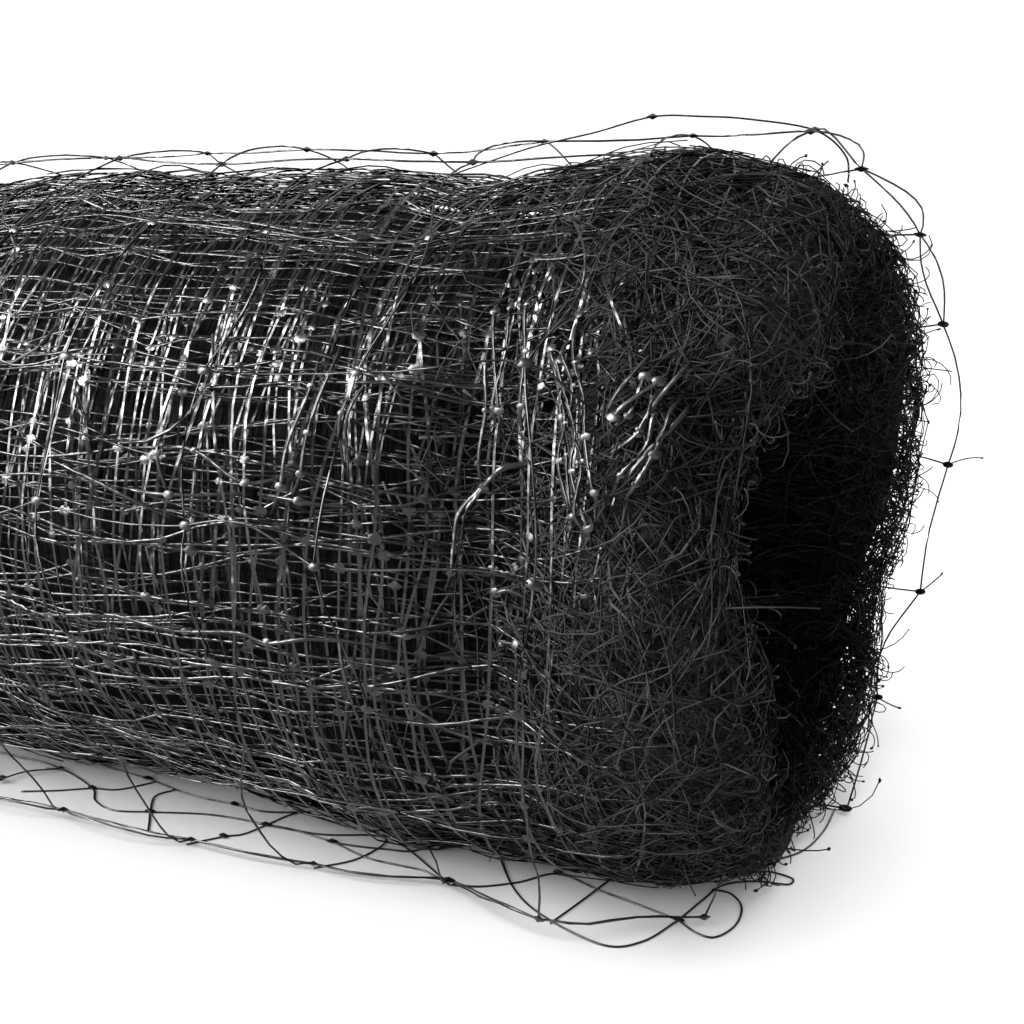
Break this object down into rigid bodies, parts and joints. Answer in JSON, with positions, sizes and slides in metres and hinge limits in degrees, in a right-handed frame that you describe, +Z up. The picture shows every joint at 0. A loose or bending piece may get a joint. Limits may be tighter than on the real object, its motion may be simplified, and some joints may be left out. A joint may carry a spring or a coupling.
{
  "type": "roll of plastic netting",
  "caption": "Roll of black plastic garden netting lying on its side, hollow right through, with a flared mouth and a slack outer turn that stands off the body and touches the floor.",
  "frame": {"origin": "on the floor under the middle of the whole roll's box", "axes": "+X along the roll's axis towards the open, flared mouth, +Z up from the floor, -Y towards the front where the loose turn touches down"},
  "size_m": [0.514, 0.1078, 0.0998],
  "materials": {
    "netting": "glossy black extruded plastic strands with a moulded knot at each crossing"
  },
  "bodies": {
    "root": {"wound_roll": "netting", "loose_turn": "netting"}
  },
  "joints": []
}
